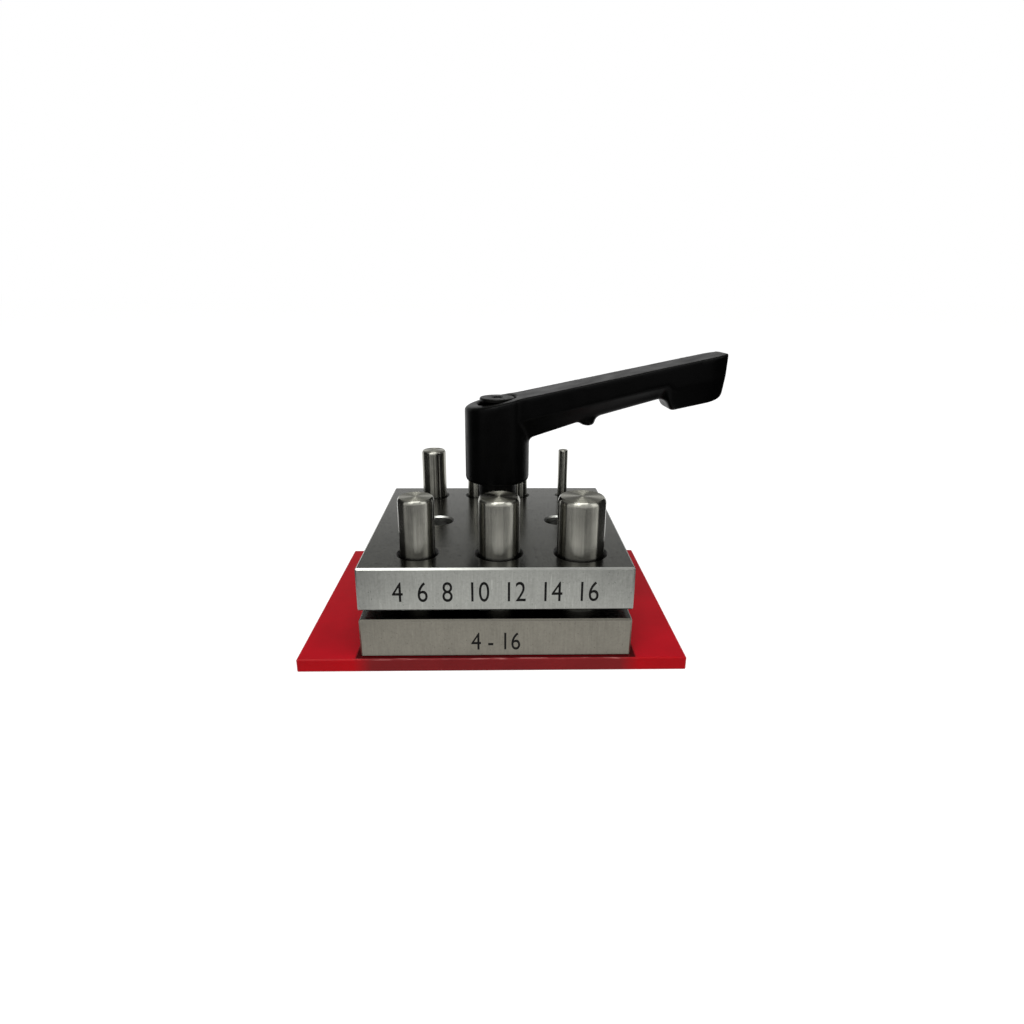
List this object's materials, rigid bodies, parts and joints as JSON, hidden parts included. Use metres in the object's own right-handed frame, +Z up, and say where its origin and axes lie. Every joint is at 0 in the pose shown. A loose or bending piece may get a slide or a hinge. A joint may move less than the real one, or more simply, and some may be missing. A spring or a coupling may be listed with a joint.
{
  "type": "disc cutter",
  "caption": "Two guided steel plates on a soft pad, clamped by a hand lever on a central stud, with a graded set of round punches that cut discs from sheet metal.",
  "frame": {"origin": "on the pad's underside, on the axis of the clamping stud", "axes": "+X to the right along the lever as it rests, +Y away from the front face, +Z up along the stud and the punches"},
  "size_m": [0.1496, 0.096, 0.0998],
  "materials": {
    "pad_red": "glossy moulded polyurethane sheet",
    "plate_steel": "surface-ground tool steel",
    "punch_steel": "turned and polished hardened steel",
    "pin_steel": "ground dowel steel",
    "black_steel": "blackened steel",
    "spring_steel": "drawn spring wire",
    "black_coat": "black powder coat on die-cast metal"
  },
  "bodies": {
    "pad": {"cutting_pad": "pad_red"},
    "block_base": {"base_plate": "plate_steel", "guide_pin_left": "pin_steel", "guide_pin_right": "pin_steel", "lift_spring_left": "spring_steel", "lift_spring_right": "spring_steel", "clamp_stud": "black_steel"},
    "upper_plate": {"top_plate": "plate_steel", "thrust_washer": "black_steel"},
    "clamp": {"lever_insert": "black_steel", "spacer_sleeve": "black_steel", "lever_screw": "black_steel", "lever_spring": "spring_steel"},
    "lever": {"lever_handle": "black_coat"},
    "punch_4": {"punch_4mm": "punch_steel"},
    "punch_6": {"punch_6mm": "punch_steel"},
    "punch_8": {"punch_8mm": "punch_steel"},
    "punch_10": {"punch_10mm": "punch_steel"},
    "punch_12": {"punch_12mm": "punch_steel"},
    "punch_14": {"punch_14mm": "punch_steel"},
    "punch_16": {"punch_16mm": "punch_steel"}
  },
  "joints": [
    {"name": "block_lift", "type": "slide", "parent": "pad", "child": "block_base", "axis": [0, 0, 1], "range_m": [0, 0.04]},
    {"name": "plate_travel", "type": "slide", "parent": "block_base", "child": "upper_plate", "axis": [0, 0, 1], "range_m": [-0.003, 0.00125], "deforming": ["lift_spring_left", "lift_spring_right"]},
    {"name": "clamp_turn", "type": "hinge", "parent": "upper_plate", "child": "clamp", "pos_m": [0, 0, 0.0368], "axis": [0, 0, 1], "range_deg": [-864, 360]},
    {"name": "lever_lift", "type": "slide", "parent": "clamp", "child": "lever", "axis": [0, 0, 1], "range_m": [0, 0.004], "stiffness_N_per_m": 1500, "springref_m": -0.003, "deforming": ["lever_spring"]},
    {"name": "punch_4_lift", "type": "slide", "parent": "block_base", "child": "punch_4", "axis": [0, 0, 1], "range_m": [0, 0.045]},
    {"name": "punch_6_lift", "type": "slide", "parent": "block_base", "child": "punch_6", "axis": [0, 0, 1], "range_m": [0, 0.045]},
    {"name": "punch_8_lift", "type": "slide", "parent": "block_base", "child": "punch_8", "axis": [0, 0, 1], "range_m": [0, 0.045]},
    {"name": "punch_10_lift", "type": "slide", "parent": "block_base", "child": "punch_10", "axis": [0, 0, 1], "range_m": [0, 0.045]},
    {"name": "punch_12_lift", "type": "slide", "parent": "block_base", "child": "punch_12", "axis": [0, 0, 1], "range_m": [0, 0.045]},
    {"name": "punch_14_lift", "type": "slide", "parent": "block_base", "child": "punch_14", "axis": [0, 0, 1], "range_m": [0, 0.045]},
    {"name": "punch_16_lift", "type": "slide", "parent": "block_base", "child": "punch_16", "axis": [0, 0, 1], "range_m": [0, 0.045]}
  ],
  "couplings": [
    {"joint": "plate_travel", "follows": "clamp_turn", "m_per_rad": 0.00019894}
  ]
}
